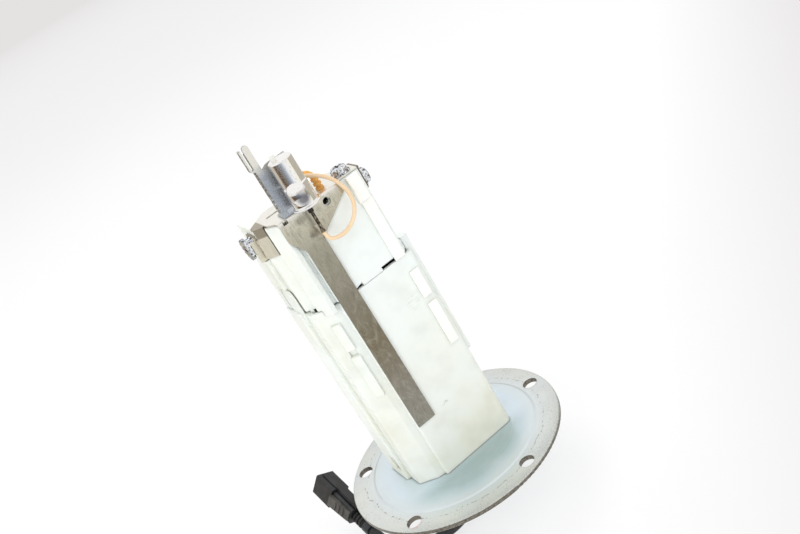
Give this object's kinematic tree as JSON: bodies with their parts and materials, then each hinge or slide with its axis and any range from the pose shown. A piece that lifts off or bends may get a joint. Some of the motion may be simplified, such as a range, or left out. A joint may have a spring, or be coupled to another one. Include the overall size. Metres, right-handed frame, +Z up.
{
  "type": "fuel pump module",
  "caption": "In-tank fuel pump module: white two-part tower with steel strap on a round bolted flange, low-fuel sensor on top, lead with connector below.",
  "frame": {"origin": "centre of the flange's upper face, the face that seals against the tank", "axes": "+Z up the module's axis into the tank, +X along the wide front face, -Y out of the front face"},
  "size_m": [0.1116, 0.1105, 0.202],
  "materials": {
    "zinc_plate": "bluish zinc plating, satin, dusty at the rim",
    "white_plastic": "unfilled acetal, slightly translucent, yellowed by fuel",
    "stainless": "rolled stainless sheet, dull, with fine wear",
    "bright_zinc": "bright zinc plating",
    "galvanised": "galvanised sheet with fine spangle",
    "chrome": "drawn and chromed, mirror bright",
    "dark_moulding": "glass-filled nylon, matte",
    "black_sleeve": "shrunk polyolefin, slightly glossy",
    "peach_insulation": "extruded insulation, satin",
    "orange_rubber": "moulded silicone",
    "black_rubber": "moulded rubber",
    "lead_sheath": "extruded sheath, satin",
    "grey_moulding": "moulded nylon, matte",
    "tinned_brass": "tinned brass strip",
    "pump_steel": "drawn steel tube, plated",
    "cast_alloy": "pressure die-cast, satin",
    "phenolic": "moulded phenolic, matte",
    "ground_steel": "ground steel",
    "spring_steel": "drawn spring wire",
    "core_steel": "stacked silicon steel laminations",
    "copper": "enamelled copper wire set in resin",
    "carbon": "sintered carbon",
    "ferrite": "sintered ferrite",
    "sintered_bronze": "sintered bronze, oil-filled",
    "cover_moulding": "moulded fuel-proof plastic",
    "natural_moulding": "moulded fuel-proof plastic, natural colour",
    "filter_paper": "resin-treated pleated paper",
    "mesh": "woven nylon"
  },
  "bodies": {
    "module": {"flange_plate": "zinc_plate", "base_bracket": "bright_zinc", "lower_housing": "white_plastic", "upper_housing": "white_plastic", "strap_bracket": "stainless", "bracket_screws": "bright_zinc", "screw_washers": "bright_zinc", "sensor_bracket": "galvanised", "sensor_can": "chrome", "sensor_base": "dark_moulding", "thermistor": "ferrite", "sensor_sleeve": "black_sleeve", "sensor_wire": "peach_insulation", "sensor_boot": "orange_rubber", "pump_case": "pump_steel", "inlet_cover": "cast_alloy", "impeller_casing": "cast_alloy", "shaft_bushes": "sintered_bronze", "magnets": "ferrite", "end_cover": "cover_moulding", "check_valve_spring": "spring_steel", "valve_cage": "cover_moulding", "relief_spring": "spring_steel", "relief_plug": "tinned_brass", "pump_terminals": "tinned_brass", "pump_dampers": "black_rubber", "filter_canister": "natural_moulding", "filter_lid": "natural_moulding", "filter_element": "filter_paper", "filter_end_caps": "cover_moulding", "nipple_seal": "black_rubber", "feed_tube": "natural_moulding", "feed_seals": "black_rubber", "outlet_manifold": "natural_moulding", "outlet_pipe": "zinc_plate", "regulator_body": "bright_zinc", "regulator_cover": "bright_zinc", "regulator_spring": "spring_steel", "strainer_frame": "natural_moulding", "strainer_mesh": "mesh", "inner_leads": "lead_sheath", "lead_grommet": "black_rubber", "power_lead": "lead_sheath", "lead_tie": "black_sleeve", "connector_housing": "dark_moulding", "connector_lock": "grey_moulding", "connector_terminals": "tinned_brass", "connector_seal": "black_rubber", "brush_spring_left": "spring_steel", "brush_spring_right": "spring_steel"},
    "rotor": {"rotor_shaft": "ground_steel", "armature_core": "core_steel", "armature_windings": "copper", "commutator": "carbon", "impeller": "phenolic"},
    "check_plunger": {"check_valve": "natural_moulding"},
    "relief_piece": {"relief_ball": "ground_steel"},
    "regulator_piston": {"regulator_valve": "tinned_brass"},
    "left_brush": {"brush_left": "carbon"},
    "right_brush": {"brush_right": "carbon"}
  },
  "joints": [
    {"name": "rotor_spin", "type": "hinge", "parent": "module", "child": "rotor", "pos_m": [0.005, 0.0046, 0.058], "axis": [0, 0, 1], "continuous": true},
    {"name": "check_valve_lift", "type": "slide", "parent": "module", "child": "check_plunger", "axis": [0, 0, 1], "range_m": [0, 0.0015], "stiffness_N_per_m": 100, "springref_m": -0.003, "deforming": ["check_valve_spring"]},
    {"name": "relief_valve_lift", "type": "slide", "parent": "module", "child": "relief_piece", "axis": [0, 0, 1], "range_m": [0, 0.0012], "stiffness_N_per_m": 800, "springref_m": -0.002, "deforming": ["relief_spring"]},
    {"name": "regulator_valve_lift", "type": "slide", "parent": "module", "child": "regulator_piston", "axis": [0, 0, 1], "range_m": [0, 0.001], "stiffness_N_per_m": 4000, "springref_m": -0.003, "deforming": ["regulator_spring"]},
    {"name": "brush_left_slide", "type": "slide", "parent": "module", "child": "left_brush", "axis": [0, 0, 1], "range_m": [0, 0.003], "stiffness_N_per_m": 150, "springref_m": -0.008, "deforming": ["brush_spring_left"]},
    {"name": "brush_right_slide", "type": "slide", "parent": "module", "child": "right_brush", "axis": [0, 0, 1], "range_m": [0, 0.003], "stiffness_N_per_m": 150, "springref_m": -0.008, "deforming": ["brush_spring_right"]}
  ]
}
